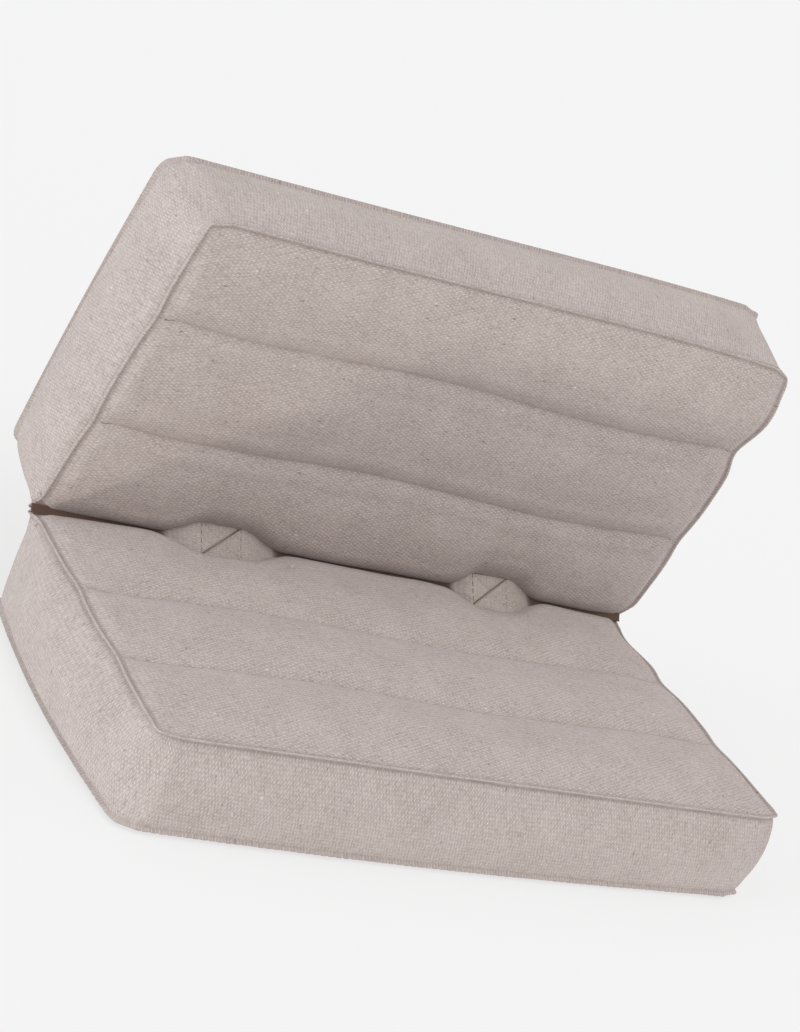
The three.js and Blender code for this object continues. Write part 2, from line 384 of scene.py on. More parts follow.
def inner_crown(half, s, t):
    """Height of a half's inner face over its seams. In the crease it presses against the other half."""
    end = HINGE_LENGTH / 2 - abs(s) - FACE_SEAM_WIDTH
    far = HALF_WIDTH - t - FACE_SEAM_WIDTH
    edge = "lower" if half["on_floor"] else "upper"
    from_strip = t - (BOX_REACH[edge] - STRIP_REACH) * box_pull(s, edge)
    span = HINGE_RISE
    for box in STITCHED_BOXES:
        near_box = 1 - smooth(abs(s - box["place"]), BOX_FLAT, box[f"{edge}_right"])
        span *= mix(1, box["lip"], near_box)
    first_crest = half["channels"][0] * 0.5 ** (1 / half["sag"])
    swelling = 1.0 if t < first_crest else lobe(half, t)
    height = FACE_CROWN * rise(end, half["end_rise"]) * rise(far, SEAM_RISE)
    height *= rise(from_strip, span) * mix(half["valley"], 1, swelling)
    room = (t + HINGE_SETBACK) * math.tan(OPENING / 2) - crease_gap(s) / math.cos(OPENING / 2)
    return min(height, room)


def rounded(x, y, radius):
    """A point of the rectangular outline with round corners, and the way out from the outline there."""
    in_x = abs(x) - (HINGE_LENGTH / 2 - radius)
    in_y = abs(y - HALF_WIDTH / 2) - (HALF_WIDTH / 2 - radius)
    side_x, side_y = math.copysign(1, x), math.copysign(1, y - HALF_WIDTH / 2)
    if in_x <= 0 or in_y <= 0:
        return x, y, (side_x, 0.0) if in_x > in_y else (0.0, side_y)
    out_x = in_x * math.sqrt(1 - 0.5 * (in_y / radius) ** 2)
    out_y = in_y * math.sqrt(1 - 0.5 * (in_x / radius) ** 2)
    way_out = Vector((side_x * out_x, side_y * out_y)).normalized()
    return x + side_x * (out_x - in_x), y + side_y * (out_y - in_y), way_out


def corner_radius(end_row, t, h):
    """How round an end's nearer upright corner is at the height h."""
    outer, middle, inner = end_row["hinge_radii" if t < HALF_WIDTH / 2 else "far_radii"]
    if h < BOXING_HEIGHT / 2:
        return mix(outer, middle, smooth(h, 0.0, RADIUS_BLEND))
    return mix(inner, middle, smooth(BOXING_HEIGHT - h, 0.0, RADIUS_BLEND))


def end_reach(half_name, s, t, h):
    """How far the cushion's end on the side of s reaches past the plain box at (t, h)."""
    row = ENDS[half_name, -1 if s < 0 else 1]
    inwards = h / BOXING_HEIGHT
    share = t / HALF_WIDTH
    corner = mix(mix(*row["hinge"], inwards), mix(*row["far"], inwards), share)
    bow = mix(*row["bows"], inwards) * math.sin(math.pi * share)
    drawn_in = 0.0
    for place, depth, width in row["dips"]:
        drawn_in += depth * math.exp(-(((t - place) / width) ** 2))
    near_end = (2 * abs(s) / HINGE_LENGTH) ** END_FADE
    return corner + (bow - inwards * drawn_in) * near_end


def wall_bulge(half_name, s, t, way_out):
    """How far the filling pushes the boxing out at the middle of its height."""
    hinge_fill, far_fill = ENDS[half_name, -1 if s < 0 else 1]["fills"]
    full = END_BULGE * way_out[0] ** 2 + SIDE_BULGE * way_out[1] ** 2
    if abs(way_out[1]) > 0.5:
        corner_fill = far_fill if t > HALF_WIDTH / 2 else hinge_fill
        return full * mix(corner_fill, 1, smooth(HINGE_LENGTH / 2 - abs(s), 0.0, WALL_RISE))
    from_hinge = mix(hinge_fill, 1, smooth(t, 0.0, WALL_RISE))
    return full * from_hinge * mix(far_fill, 1, smooth(HALF_WIDTH - t, 0.0, WALL_RISE))


def wall_push(half_name, s, t, h, way_out, uneven):
    """How far the boxing stands out from the flat-sided box, or in from it beside a seam ridge."""
    from_face = min(h, BOXING_HEIGHT - h)
    inside = clamp((from_face - BOXING_GROOVE) / (BOXING_HEIGHT / 2 - BOXING_GROOVE))
    arch = math.sin(math.pi / 2 * inside) ** BULGE_POWER
    push = along_table(RIDGE_ON_BOXING, from_face)
    return push + (wall_bulge(half_name, s, t, way_out) + uneven) * arch


def face_height(half, s, t, inner, uneven):
    """Height of the inner or the outer face over its seams, with its seam ridge."""
    rests = half["on_floor"] and not inner
    edge = edge_distance(s, t, inner)
    height = along_table(RIDGE_ON_FACE, edge)
    if edge > FACE_SEAM_WIDTH:
        fade = 1 - smooth(edge, FACE_SEAM_WIDTH, 2 * FACE_SEAM_WIDTH)
        face = inner_crown(half, s, t) if inner else outer_crown(half, s, t)
        height = RIDGE_ON_FACE[-1][1] * fade + face
        if not rests:
            height += uneven * rise(edge - FACE_SEAM_WIDTH, SEAM_RISE)
    return min(height, FLOOR_LIFT) if rests else height


def far_edge_shift(half, s, t, inwards):
    """How far the far edge bows out, fading towards the middle of the half."""
    share = s / HINGE_LENGTH + 0.5
    shift = mix(*half["far_bows"], inwards) * math.sin(math.pi * share ** half["bow_sag"])
    shift += mix(*half["far_tilts"], inwards) * share
    return shift * smooth(t, HALF_WIDTH - FAR_BOW_REACH, HALF_WIDTH)


def channel_wander(half, s, t):
    """How far the handwork strays from straight rows."""
    wander = CHANNEL_WANDER * math.sin(2 * math.pi * s / WANDER_LENGTH + half["wander_phase"])
    return wander * math.sin(math.pi * t / HALF_WIDTH)


def filled_point(half_name, s, t, h):
    """Where the point (s, t, h) of a flat-sided box goes on the filled cushion, in its own directions."""
    half = HALVES[half_name]
    on_face = h in (0.0, BOXING_HEIGHT)
    inner = h > 0
    radius = corner_radius(ENDS[half_name, -1 if s < 0 else 1], t, h)
    x, y, way_out = rounded(s, t, radius)
    z = h
    uneven = UNEVENNESS * noise.noise(Vector((s, t, h + half["wander_phase"])) / UNEVEN_LENGTH)
    if not on_face:
        push = wall_push(half_name, s, t, h, way_out, uneven)
        x += way_out[0] * push
        y += way_out[1] * push
    y += far_edge_shift(half, s, t, h / BOXING_HEIGHT)
    y += channel_wander(half, s, t)
    x *= 1 + end_reach(half_name, s, t, h) / (HINGE_LENGTH / 2)
    if on_face:
        height = face_height(half, s, t, inner, uneven)
        z += height if inner else -height
    return Vector((x, y, z))


def placed(half_name, s, point):
    """A point in a half's own directions at its place beside the hinge."""
    lower = HALVES[half_name]["on_floor"]
    across = OUT_LOWER_FACE if lower else UP_UPPER_FACE
    facing = LOWER_FACING if lower else UPPER_FACING
    from_end = HINGE_LENGTH / 2 - abs(s)
    setback = mix(END_SETBACK, HINGE_SETBACK, smooth(from_end, END_SETBACK_FULL, END_SETBACK_FROM))
    place = HINGE + across * (point.y + setback) + facing * (point.z - BOXING_HEIGHT)
    place.x += point.x
    return place


def even_rows(start, stop):
    """Rows from start up to stop, about a cell apart, without the last."""
    count = max(1, round((stop - start) / CELL))
    return [mix(start, stop, i / count) for i in range(count)]


def rows_between_seams(length, seam, creases=()):
    """Rows across a panel: close together at its seams and sewn channels, even in between."""
    rows = [distance for distance, _ in seam]
    reached = rows.pop()
    for crease in creases:
        near = [crease - step for step in reversed(CHANNEL_ROWS)]
        far = [crease + step for step in CHANNEL_ROWS[1:-1]]
        rows += even_rows(reached, near[0]) + near + far
        reached = crease + CHANNEL_ROWS[-1]
    last = length - seam[-1][0]
    rows += even_rows(reached, last)
    return rows + [length - distance for distance, _ in reversed(seam)]


def gridded_box(rows_by_axis):
    """A closed box cut along rows, and the row distances (s, t, h) at which each of its points lies."""
    box = bmesh.new()
    bmesh.ops.create_cube(box, size=1)
    for axis, rows in enumerate(rows_by_axis):
        lengthwise = []
        for edge in box.edges:
            step = edge.verts[0].co - edge.verts[1].co
            if abs(step[axis]) > 0.5:
                lengthwise.append(edge)
        bmesh.ops.subdivide_edges(box, edges=lengthwise, cuts=len(rows) - 2, use_grid_fill=True)
    rest = []
    for vertex in box.verts:
        steps = [round((vertex.co[axis] + 0.5) * (len(rows) - 1)) for axis, rows in enumerate(rows_by_axis)]
        rest.append(tuple(rows[step] for rows, step in zip(rows_by_axis, steps)))
    return box, rest


def lay_out_cloth(box, rest):
    """Gives each panel its own cloth layout, in metres. The boxing's warp runs round the cushion."""
    layout = box.loops.layers.uv.new("cloth")
    for face in box.faces:
        places = [rest[corner.vert.index] for corner in face.loops]
        if all(place[2] == places[0][2] for place in places):
            across_warp, across_weft = 0, 1
        elif all(place[1] == places[0][1] for place in places):
            across_warp, across_weft = 2, 0
        else:
            across_warp, across_weft = 2, 1
        for corner, place in zip(face.loops, places):
            corner[layout].uv = (place[across_warp], place[across_weft])


def sewn_weight(half, s, t, h):
    """1 where the cloth is held by a seam, a channel or the floor, and 0 where the filling may push it."""
    end = HINGE_LENGTH / 2
    if h in (0.0, BOXING_HEIGHT):
        edge = min(end - abs(s), t, HALF_WIDTH - t)
        held = 1 - smooth(edge, FACE_SEAM_WIDTH, 3 * FACE_SEAM_WIDTH)
        for channel in half["channels"]:
            held = max(held, 1 - smooth(abs(t - channel), CHANNEL_ROWS[1], CHANNEL_HOLD))
        if h == 0.0 and half["on_floor"]:
            held = 1.0
        if h > 0:
            pull = box_pull(s, "lower" if half["on_floor"] else "upper")
            held = max(held, 1 - smooth(t - BOX_REACH["upper"] * pull, CREASE_MOUTH, 2 * CREASE_MOUTH))
        return held
    from_face = min(h, BOXING_HEIGHT - h)
    held = 1 - smooth(from_face, BOXING_GROOVE, BOXING_SEAM_WIDTH)
    if t == 0.0:
        held = max(held, HINGE_WALL_HOLD)
    return held


def painted_seam_and_crease_shade(half, s, t, h):
    """How much painted shade falls on the cloth, from 0 to 1: the shadow of seam grooves and channels along
    with the darkening of thread and needle holes, and the crease's shade.
    """
    if h in (0.0, BOXING_HEIGHT):
        edge = edge_distance(s, t, h > 0)
        shade = FACE_SHADE * math.exp(-(((edge - FACE_GROOVE) / SHADE_WIDTH) ** 2))
        shade *= 1 if h > 0 else OUTER_SEAM_SHADE
        if h > 0:
            side = "lower" if half["on_floor"] else "upper"
            from_strip = t - BOX_REACH[side] * box_pull(s, side)
            crease = CREASE_SHADE[side] * math.exp(-max(0.0, from_strip) / CREASE_SHADE_REACH[side])
            shade = max(shade, crease)
        for channel in half["channels"]:
            shade = max(shade, CHANNEL_SHADE * math.exp(-(((t - channel) / SHADE_WIDTH) ** 2)))
        return shade
    from_face = min(h, BOXING_HEIGHT - h)
    shade = BOXING_SHADE * math.exp(-(((from_face - BOXING_GROOVE) / SHADE_WIDTH) ** 2))
    return shade if h > BOXING_HEIGHT / 2 else OUTER_SEAM_SHADE * shade


def swell(piece, weights):
    """Lets the filling press the cloth out between its sewn lines, no further than the cap."""
    group = piece.vertex_groups.new(name="sewn")
    for index, weight in enumerate(weights):
        if weight > LEAST_HOLD:
            group.add([index], weight, "REPLACE")
    start = [vertex.co.copy() for vertex in piece.data.vertices]
    filling = piece.modifiers.new("filling", "CLOTH")
    settings = filling.settings
    settings.quality = CLOTH_QUALITY
    settings.mass = CLOTH_MASS
    settings.use_pressure = True
    settings.uniform_pressure_force = SWELL_PRESSURE
    settings.vertex_group_mass = group.name
    settings.effector_weights.gravity = 0
    filling.collision_settings.use_collision = False
    filling.point_cache.frame_start = 1
    filling.point_cache.frame_end = SWELL_FRAMES
    for step in range(1, SWELL_FRAMES + 1):
        bpy.context.scene.frame_set(step)
    settled = piece.evaluated_get(bpy.context.evaluated_depsgraph_get())
    moves = []
    for vertex, origin in zip(settled.data.vertices, start):
        move = vertex.co - origin
        if move.length > SWELL_CAP:
            move *= SWELL_CAP / move.length
        moves.append(move)
    piece.modifiers.remove(filling)
    piece.vertex_groups.clear()
    for vertex, origin, move in zip(piece.data.vertices, start, moves):
        vertex.co = origin + move
    bpy.context.scene.frame_set(1)


def finished(name, mesh, finish):
    """A piece from its bmesh, with its finish, in the scene."""
    data = bpy.data.meshes.new(name)
    mesh.to_mesh(data)
    mesh.free()
    piece = bpy.data.objects.new(name, data)
    bpy.context.scene.collection.objects.link(piece)
    data.materials.append(finish)
    data.shade_smooth()
    return piece


def soften(piece):
    """One subdivision, the same in the render."""
    rounding = piece.modifiers.new("rounding", "SUBSURF")
    rounding.levels = 1
    rounding.render_levels = 1
    rounding.uv_smooth = "PRESERVE_BOUNDARIES"


def cushion_half(half_name, finish):
    """The cover of one half, filled."""
    half = HALVES[half_name]
    end = HINGE_LENGTH / 2
    along = [s - end for s in rows_between_seams(HINGE_LENGTH, RIDGE_ON_FACE)]
    across = rows_between_seams(HALF_WIDTH, RIDGE_ON_FACE, half["channels"])
    up = rows_between_seams(BOXING_HEIGHT, RIDGE_ON_BOXING)
    box, rest = gridded_box((along, across, up))
    box.verts.index_update()
    lay_out_cloth(box, rest)
    for vertex, (s, t, h) in zip(box.verts, rest):
        vertex.co = placed(half_name, s, filled_point(half_name, s, t, h))
    bmesh.ops.recalc_face_normals(box, faces=box.faces)
    piece = finished(half_name + "_cover", box, finish)
    # Per point, how much painted shade of the seams, channels and crease the cloth's colour takes
    shade = piece.data.attributes.new("painted_seam_and_crease_shade", "FLOAT", "POINT")
    shade.data.foreach_set("value", [painted_seam_and_crease_shade(half, s, t, h) for s, t, h in rest])
    weights = [sewn_weight(half, s, t, h) for s, t, h in rest]
    swell(piece, weights)
    soften(piece)
    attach(piece, "root")
    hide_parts(half_name)
    return piece


def strip_line(s, share):
    """The strip's middle line across the crease at s: share 0 is its lower edge, 1 its upper edge."""
    up, down = box_pull(s, "upper"), box_pull(s, "lower")
    off = STRIP_THICKNESS / 2 + STRIP_CLEARANCE
    stretch = 1 + end_reach("lower_cushion", s, 0.0, BOXING_HEIGHT) / (HINGE_LENGTH / 2)
    middle = HINGE + Vector((s * stretch, 0, 0))
    upper = middle + UP_UPPER_FACE * mix(STRIP_REACH, BOX_REACH["upper"], up) + UPPER_FACING * off
    lower = middle + OUT_LOWER_FACE * mix(STRIP_REACH, BOX_REACH["lower"], down) + LOWER_FACING * off
    fold = middle + (UP_UPPER_FACE + OUT_LOWER_FACE).normalized() * FOLD_DEPTH
    control = fold.lerp(upper.lerp(lower, 0.5), BOX_TAUTNESS * min(up, down))
    return lower.lerp(control, share).lerp(control.lerp(upper, share), share)


def crease_shade(s):
    """How much of the crease's painted shade is laid on the strip, from 0 to 1."""
    return 1 - smooth(min(box_pull(s, "upper"), box_pull(s, "lower")), 0.0, CREASE_SHADE_PULL)


def hinge_strip(finish):
    """The strip of cloth along the crease."""
    cloth = bmesh.new()
    bmesh.ops.create_grid(cloth, x_segments=STRIP_SEGMENTS[0], y_segments=STRIP_SEGMENTS[1], size=0.5)
    layout = cloth.loops.layers.uv.new("cloth")
    length = HINGE_LENGTH - 2 * STRIP_END_GAP
    for face in cloth.faces:
        for corner in face.loops:
            corner[layout].uv = (corner.vert.co.x * length, corner.vert.co.y * 2 * BOX_REACH["upper"])
    # Painted shade of the crease on the strip, darkest where it lies in the crease rather than pulled out
    # under a box
    shades = [crease_shade(vertex.co.x * length) for vertex in cloth.verts]
    for vertex in cloth.verts:
        vertex.co = strip_line(vertex.co.x * length, clamp(vertex.co.y + 0.5))
    piece = finished("hinge_strip_cloth", cloth, finish)
    shade = piece.data.attributes.new("painted_seam_and_crease_shade", "FLOAT", "POINT")
    shade.data.foreach_set("value", shades)
    thickness = piece.modifiers.new("thickness", "SOLIDIFY")
    thickness.thickness = STRIP_THICKNESS
    thickness.offset = 0
    soften(piece)
    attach(piece, "root")
    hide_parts("hinge_strip")
    return piece


def face_point(half_name, inner, s, t):
    """A point on a half's inner or outer face."""
    return placed(half_name, s, filled_point(half_name, s, t, BOXING_HEIGHT if inner else 0.0))


def stitching(name, stitches, finish):
    """One piece of stitches. Each is a slim bead of thread from its start to its stop."""
    thread = bmesh.new()
    bmesh.ops.create_uvsphere(thread, u_segments=BEAD_SIDES, v_segments=BEAD_RINGS, radius=1)
    corners = len(thread.verts)
    while len(thread.verts) < corners * len(stitches):
        bmesh.ops.duplicate(thread, geom=thread.verts[:] + thread.edges[:] + thread.faces[:])
    bmesh.ops.delete(thread, geom=thread.verts[corners * len(stitches):], context="VERTS")
    beads = thread.verts[:]
    for i, (start, stop, thickness) in enumerate(stitches):
        along = stop - start
        size = Matrix.Diagonal((thickness / 2, thickness / 2, along.length / 2, 1))
        turn = along.to_track_quat("Z", "Y").to_matrix().to_4x4()
        place = Matrix.Translation((start + stop) / 2) @ turn @ size
        for vertex in beads[i * corners:(i + 1) * corners]:
            vertex.co = place @ vertex.co
    piece = finished(name, thread, finish)
    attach(piece, "root")
    return piece


def beside_edge(side, along, inset):
    """The point (s, t) at a distance in from one edge of a face, and along it from its middle."""
    if side in ("far", "hinge"):
        return along, HALF_WIDTH - inset if side == "far" else inset
    s = HINGE_LENGTH / 2 - inset
    return s if side == "right" else -s, HALF_WIDTH / 2 + along


def wall_point(half_name, side, along, drop):
    """A point on the boxing, at a drop from the inner face's seam and along that seam from its middle."""
    s, t = beside_edge(side, along, 0.0)
    return placed(half_name, s, filled_point(half_name, s, t, BOXING_HEIGHT - drop))


def ridge_stitches(half_name, finish):
    """The thick overcast turns on the ridges. On the inner face's ridge they meet like plaited rope."""
    stitches = []
    step, slant = RIDGE_STITCH["step"], RIDGE_STITCH["slant"]
    for inner in (True, False):
        for side in ("far", "left", "right") if inner else ("far", "left", "right", "hinge"):
            reach = (HINGE_LENGTH if side in ("far", "hinge") else HALF_WIDTH) / 2 - RIDGE_STITCH["corner"]
            for i in range(int(-reach / step), int(reach / step) + 1):
                along = i * step
                thickness = RIDGE_STITCH["thickness"]
                where = Vector((along * RIDGE_STITCH_WAVES, reach * RIDGE_STITCH_SIDES, float(inner)))
                thickness *= RIDGE_STITCH_USUAL + RIDGE_STITCH_VARIES * noise.noise(where)
                tip = face_point(half_name, inner, *beside_edge(side, along, RIDGE_STITCH["lap"]))
                foot = face_point(half_name, inner, *beside_edge(side, along + slant, RIDGE_STITCH["width"]))
                stitches.append((tip, foot, thickness))
                if inner:
                    tip = wall_point(half_name, side, along + step / 2, RIDGE_STITCH["lap"])
                    foot = wall_point(half_name, side, along + step / 2 + slant, RIDGE_STITCH["drop"])
                    stitches.append((tip, foot, thickness))
    return stitching(half_name + "_ridge_stitches", stitches, finish)


def channel_stitches(half_name, finish):
    """Running stitches along the sewn channels, on both faces."""
    stitches = []
    reach = HINGE_LENGTH / 2 - FACE_SEAM_WIDTH
    step, length = CHANNEL_STITCH["step"], CHANNEL_STITCH["length"]
    for inner in (True, False):
        for channel in HALVES[half_name]["channels"]:
            for i in range(int(-reach / step), int(reach / step)):
                start = face_point(half_name, inner, i * step, channel)
                stop = face_point(half_name, inner, i * step + length, channel)
                stitches.append((start, stop, CHANNEL_STITCH["thickness"]))
    return stitching(half_name + "_channel_stitches", stitches, finish)


def strip_point(s, share, lift):
    """A point over the strip's front, at s along it and share of the way across it."""
    across = strip_line(s, share + FRONT_STEP) - strip_line(s, share - FRONT_STEP)
    front = Vector((1, 0, 0)).cross(across).normalized()
    return strip_line(s, share) + front * lift


def row_of_stitches(start, stop, lift, thickness, cover):
    """Small stitches on the strip between two points (s, share) of it, each over a part of its step."""
    length = (strip_point(*start, lift) - strip_point(*stop, lift)).length
    count = round(length / BOX_STITCH["step"])
    row = []
    for i in range(count):
        near, far = i / count, (i + cover) / count
        ends = [strip_point(mix(start[0], stop[0], a), mix(start[1], stop[1], a), lift) for a in (near, far)]
        row.append((*ends, thickness))
    return row


def box_stitches(finish):
    """The boxes of small stitches with a cross that hold the strip, with a knot at their corners."""
    stitches = []
    lift = STRIP_THICKNESS / 2
    low, high = BOX_STITCHED_SHARES
    for box in STITCHED_BOXES:
        left, right = box["place"] - BOX_FLAT, box["place"] + BOX_FLAT
        corners = {
            "top_left": (left, high),
            "top_right": (right, high),
            "low_right": (right, low),
            "low_left": (left, low),
        }
        for first, last, weight, cover in BOX_ROWS:
            thickness = BOX_STITCH["thickness"] * weight
            stitches += row_of_stitches(corners[first], corners[last], lift, thickness, cover)
        for corner in ("top_left", "top_right", "low_left"):
            knot = strip_point(*corners[corner], lift)
            half_knot = Vector((KNOT_SIZE / 2, 0, KNOT_SIZE * KNOT_RISE))
            stitches.append((knot - half_knot, knot + half_knot, KNOT_SIZE))
    return stitching("box_stitches", stitches, finish)


def hinge_lacing(finish):
    """Whip stitches over the crease where the halves' corners meet at each end of the hinge."""
    stitches = []
    thickness, inset = LACING_STITCH["thickness"], LACING_STITCH["inset"]
    for side in (-1, 1):
        for i in range(LACING_STITCH["count"]):
            s = side * (HINGE_LENGTH / 2 - thickness - i * LACING_STITCH["step"])
            low = face_point("lower_cushion", True, s, inset)
            high = face_point("upper_cushion", True, s - side * LACING_STITCH["step"] / 2, inset)
            middle = low.lerp(high, 0.5) + (UPPER_FACING + LOWER_FACING).normalized() * thickness
            stitches.append((low, middle, thickness))
            stitches.append((middle, high, thickness))
    return stitching("hinge_lacing", stitches, finish)


def linear(hex_colour):
    """An sRGB colour such as C8BEB8 as the linear colour that a socket takes."""
    channels = [int(hex_colour[i:i + 2], 16) / 255 for i in (0, 2, 4)]
    values = [c / 12.92 if c <= 0.04045 else ((c + 0.055) / 1.055) ** 2.4 for c in channels]
    return (*values, 1.0)


def node(tree, kind, settings=None, links=None):
    """Adds a node with its settings, and links its inputs by name or number."""
    made = tree.nodes.new(kind)
    for key, value in (settings or {}).items():
        setattr(made, key, value)
    for key, source in (links or {}).items():
        if isinstance(source, bpy.types.NodeSocket):
            tree.links.new(source, made.inputs[key])
        else:
            made.inputs[key].default_value = source
    return made


def new_finish(name):
    """An empty material and its node tree, with the shader and output already joined."""
    finish = bpy.data.materials.new(name)
    finish.use_nodes = True
    tree = finish.node_tree
    tree.nodes.clear()
    shader = node(tree, "ShaderNodeBsdfPrincipled")
    node(tree, "ShaderNodeOutputMaterial", links={"Surface": shader.outputs["BSDF"]})
    return finish, tree, shader


def maths(tree, operation, *values):
    """The result of a maths node."""
    settings = {"operation": operation}
    return node(tree, "ShaderNodeMath", settings, dict(enumerate(values))).outputs[0]


def blended(tree, share, first, second):
    """One colour turned into another by a share."""
    colours = {"Factor": share, 6: first, 7: second}
    return node(tree, "ShaderNodeMix", {"data_type": "RGBA"}, colours).outputs[2]


def cloth_noise(tree, layout, size, detail=2.0):
    """Noise over the cloth with patches of about that size."""
    settings = {"noise_dimensions": "2D"}
    return node(tree, "ShaderNodeTexNoise", settings, {"Vector": layout, "Scale": 1 / size, "Detail": detail})


def swayed(tree, layout, size, reach):
    """The cloth layout with its threads pushed a little out of line, by up to about reach."""
    push = cloth_noise(tree, layout, size).outputs["Color"]
    centred = node(tree, "ShaderNodeVectorMath", {"operation": "SUBTRACT"}, {0: push, 1: (0.5, 0.5, 0.5)})
    moved = {0: centred.outputs[0], 1: (2 * reach, 2 * reach, 0), 2: layout}
    return node(tree, "ShaderNodeVectorMath", {"operation": "MULTIPLY_ADD"}, moved).outputs[0]


def thread_tone(tree, number, along):
    """Uneven spinning: from 0 to 1, different on each thread and changing along it."""
    place = node(tree, "ShaderNodeCombineXYZ", links={
        0: maths(tree, "MULTIPLY", number, THREAD_STEP),
        1: maths(tree, "DIVIDE", along, SPUN_LENGTH),
    })
    settings = {"noise_dimensions": "2D"}
    pattern = {"Vector": place.outputs[0], "Detail": 2.0}
    return node(tree, "ShaderNodeTexNoise", settings, pattern).outputs["Fac"]


def plain_weave(tree, layout, warp_pitch, weft_pitch):
    """Height and tone of a plain weave: stout warp threads with finer weft threads beaded over them."""
    place = node(tree, "ShaderNodeSeparateXYZ", links={0: layout})
    u = maths(tree, "DIVIDE", place.outputs[0], warp_pitch)
    v = maths(tree, "DIVIDE", place.outputs[1], weft_pitch)
    warp_number, weft_number = maths(tree, "FLOOR", u), maths(tree, "FLOOR", v)
    tones = (
        thread_tone(tree, warp_number, place.outputs[1]),
        thread_tone(tree, weft_number, place.outputs[0]),
    )
    heights = []
    rows = (
        (u, v, warp_number, 0.5, WARP_GAIN, tones[0]),
        (v, u, weft_number, -0.5, WEFT_GAIN, tones[1]),
    )
    for across, along, number, sign, gain, tone in rows:
        roundness = maths(tree, "ABSOLUTE", maths(tree, "SINE", maths(tree, "MULTIPLY", across, math.pi)))
        half_turns = maths(tree, "ADD", maths(tree, "SUBTRACT", along, 0.5), number)
        turn = maths(tree, "MULTIPLY", half_turns, math.pi)
        over = maths(tree, "MULTIPLY_ADD", maths(tree, "COSINE", turn), sign, 0.5)
        thickness = maths(tree, "MULTIPLY_ADD", tone, gain, gain / 2)
        heights.append(maths(tree, "MULTIPLY", maths(tree, "MULTIPLY", roundness, over), thickness))
    return maths(tree, "MAXIMUM", *heights), maths(tree, "ADD", *tones)


def with_flecks(tree, layout, cloth, colour, turn, size, reach, strength):
    """The cloth's colour with thin flecks laid over it, one or none in each cell of about that size."""
    placing = {"Vector": layout, "Rotation": (0, 0, turn), "Scale": (FLECK_SLIMNESS / size, 1 / size, 1)}
    turned = node(tree, "ShaderNodeMapping", {}, placing).outputs[0]
    cells = node(tree, "ShaderNodeTexVoronoi", {"voronoi_dimensions": "2D"}, {"Vector": turned, "Scale": 1.0})
    chance = node(tree, "ShaderNodeSeparateColor", links={0: cells.outputs["Color"]}).outputs[0]
    radius = maths(tree, "MULTIPLY_ADD", chance, reach, -0.5 * reach)
    fleck = maths(tree, "MULTIPLY", maths(tree, "SUBTRACT", radius, cells.outputs["Distance"]), FLECK_EDGE)
    fleck = maths(tree, "MULTIPLY", node(tree, "ShaderNodeClamp", links={0: fleck}).outputs[0], strength)
    return blended(tree, fleck, cloth, linear(colour))


def handloom_cotton(name, base, shade, fold):
    """Undyed handloom cotton canvas, plain woven: matt, beaded, with uneven threads and seed flecks."""
    finish, tree, shader = new_finish(name)
    layout = node(tree, "ShaderNodeUVMap", {"uv_map": "cloth"}).outputs["UV"]
    threads = layout
    for size, reach in THREAD_SWAYS:
        threads = swayed(tree, threads, size, reach)
    weave, tone = plain_weave(tree, threads, WARP_PITCH, WEFT_PITCH)
    fuzz = cloth_noise(tree, layout, FUZZ_SIZE, 1.0).outputs["Fac"]
    patches = cloth_noise(tree, layout, PATCH_SIZE, 3.0).outputs["Fac"]
    lightness = DARKEST
    patterns = ((weave, WEAVE_SHARE), (tone, TONE_SHARE), (fuzz, FUZZ_SHARE), (patches, PATCH_SHARE))
    for pattern, strength in patterns:
        lightness = maths(tree, "MULTIPLY_ADD", pattern, strength, lightness)
    cloth = blended(tree, lightness, linear(shade), linear(base))
    for fleck in FLECKS:
        cloth = with_flecks(tree, layout, cloth, *fleck)
    # Painted shade: the cloth turns to the fold colour where the seam grooves, channels and crease carry
    # painted shade
    painted_shade = node(tree, "ShaderNodeAttribute", {"attribute_name": "painted_seam_and_crease_shade"}).outputs["Fac"]
    cloth = blended(tree, painted_shade, cloth, linear(fold))
    relief = maths(tree, "MULTIPLY_ADD", tone, TONE_RELIEF, weave)
    raised = {"Height": relief, "Distance": WEAVE_RELIEF, "Strength": WEAVE_RELIEF_STRENGTH}
    bump = node(tree, "ShaderNodeBump", links=raised)
    tree.links.new(cloth, shader.inputs["Base Color"])
    tree.links.new(bump.outputs["Normal"], shader.inputs["Normal"])
    shader.inputs["Roughness"].default_value = CLOTH_ROUGHNESS
    shader.inputs["Specular IOR Level"].default_value = COTTON_SPECULAR
    shader.inputs["Sheen Weight"].default_value = CLOTH_SHEEN
    return finish


def cotton_thread(name, colour):
    """Spun cotton thread: matt, with a little twist that catches the light unevenly."""
    finish, tree, shader = new_finish(name)
    place = node(tree, "ShaderNodeTexCoord").outputs["Object"]
    pattern = {"Vector": place, "Scale": TWIST_SCALE, "Detail": 2.0}
    twist = node(tree, "ShaderNodeTexNoise", links=pattern).outputs["Fac"]
    dark = tuple(TWIST_SHADE * channel for channel in linear(colour)[:3])
    tree.links.new(blended(tree, twist, (*dark, 1.0), linear(colour)), shader.inputs["Base Color"])
    shader.inputs["Roughness"].default_value = THREAD_ROUGHNESS
    shader.inputs["Specular IOR Level"].default_value = COTTON_SPECULAR
    return finish


def look_from(azimuth, elevation):
    """The direction in which a camera looks from that side, and the turn that points it there."""
    direction = Vector((
        math.sin(azimuth) * math.cos(elevation),
        math.cos(azimuth) * math.cos(elevation),
        -math.sin(elevation),
    ))
    return direction, direction.to_track_quat("-Z", "Y").to_matrix()


def set_camera():
    direction, turn = look_from(VIEW_AZIMUTH, VIEW_ELEVATION)
    turn = turn @ Matrix.Rotation(VIEW_ROLL, 3, "Z")
    data = bpy.data.cameras.new("camera")
    data.lens = VIEW_LENS
    data.sensor_width = SENSOR_WIDTH
    camera = bpy.data.objects.new("camera", data)
    camera.matrix_world = Matrix.Translation(Vector(VIEW_TARGET) - direction * VIEW_DISTANCE) @ turn.to_4x4()
    bpy.context.scene.collection.objects.link(camera)
    bpy.context.scene.camera = camera


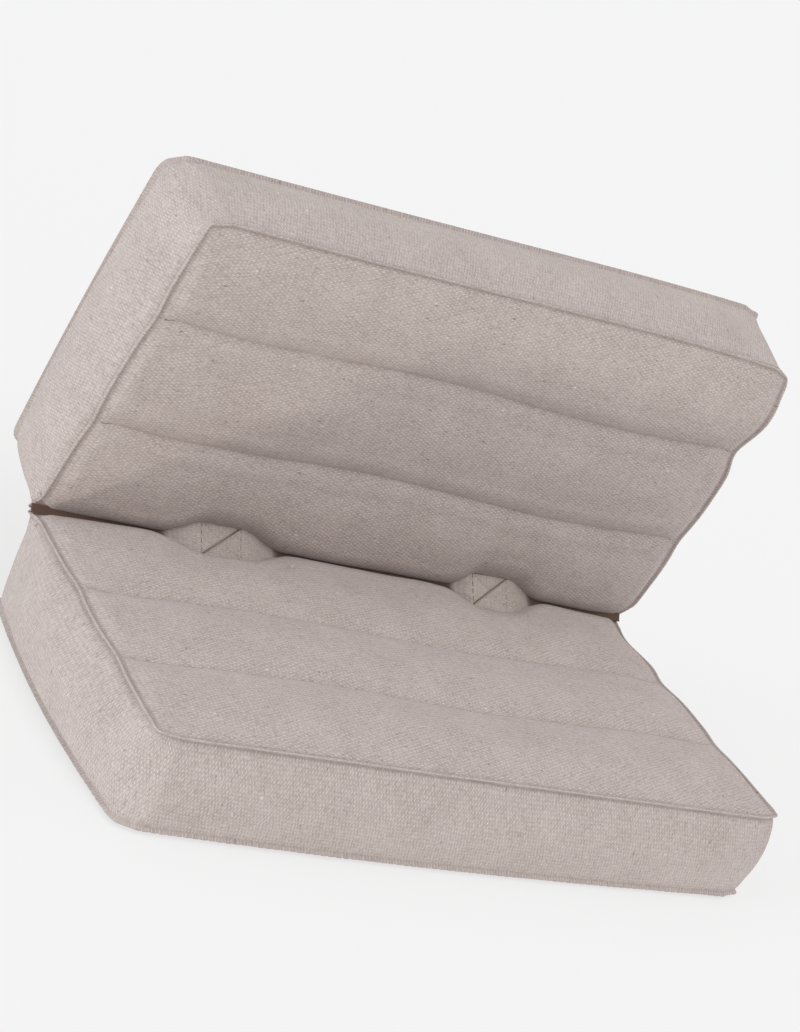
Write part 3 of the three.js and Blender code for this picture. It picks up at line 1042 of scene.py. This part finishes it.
def add_sun(name, travel, strength, spread, colour):
    """A far, soft studio light. travel is the way its light goes."""
    data = bpy.data.lights.new(name, "SUN")
    data.energy = strength
    data.angle = math.radians(spread)
    data.color = linear(colour)[:3]
    lamp = bpy.data.objects.new(name, data)
    lamp.rotation_euler = Vector(travel).to_track_quat("-Z", "Y").to_euler()
    bpy.context.scene.collection.objects.link(lamp)
    return lamp


def studio():
    """A plain pale floor, partly lit from below as a light table is, under soft light."""
    floor = bmesh.new()
    bmesh.ops.create_grid(floor, x_segments=1, y_segments=1, size=FLOOR_SIZE)
    finish, _, shader = new_finish("floor_paint")
    shader.inputs["Base Color"].default_value = linear(FLOOR_COLOUR)
    shader.inputs["Emission Color"].default_value = linear(STUDIO_COLOUR)
    shader.inputs["Emission Strength"].default_value = FLOOR_GLOW
    shader.inputs["Roughness"].default_value = 1.0
    shader.inputs["Specular IOR Level"].default_value = 0.0
    piece = finished("floor", floor, finish)
    piece.location.z = -FLOOR_GAP
    world = bpy.data.worlds.new("studio")
    world.use_nodes = True
    sky = world.node_tree.nodes["Background"]
    sky.inputs["Color"].default_value = linear(STUDIO_COLOUR)
    sky.inputs["Strength"].default_value = SKY_STRENGTH
    bpy.context.scene.world = world
    for name, light in SOFT_LIGHTS.items():
        add_sun(name, *light)
    bpy.context.scene.view_settings.view_transform = "Standard"


def low_key(pieces):
    """The low light from the left, which passes the floor and falls only on the cushion."""
    key = add_sun("low_light", *LOW_LIGHT)
    lit = bpy.data.collections.new("lit_by_low_light")
    for piece in pieces:
        lit.objects.link(piece)
    key.light_linking.receiver_collection = lit
    key.light_linking.blocker_collection = lit


set_camera()
studio()
cover_cloth = handloom_cotton("handloom_cotton", *COVER_COLOURS)
strip_cloth = handloom_cotton("hinge_cotton", *STRIP_COLOURS)
pale_thread = cotton_thread("pale_cotton_thread", PALE_THREAD)
channel_thread = cotton_thread("undyed_cotton_thread", CHANNEL_THREAD)
lacing_thread = cotton_thread("dark_cotton_thread", LACING_THREAD)
box_thread = cotton_thread("brown_cotton_thread", BOX_THREAD)
pieces = []
for half_name in HALVES:
    pieces.append(cushion_half(half_name, cover_cloth))
    pieces.append(ridge_stitches(half_name, pale_thread))
    pieces.append(channel_stitches(half_name, channel_thread))
pieces.append(hinge_strip(strip_cloth))
pieces.append(box_stitches(box_thread))
pieces.append(hinge_lacing(lacing_thread))
low_key(pieces)
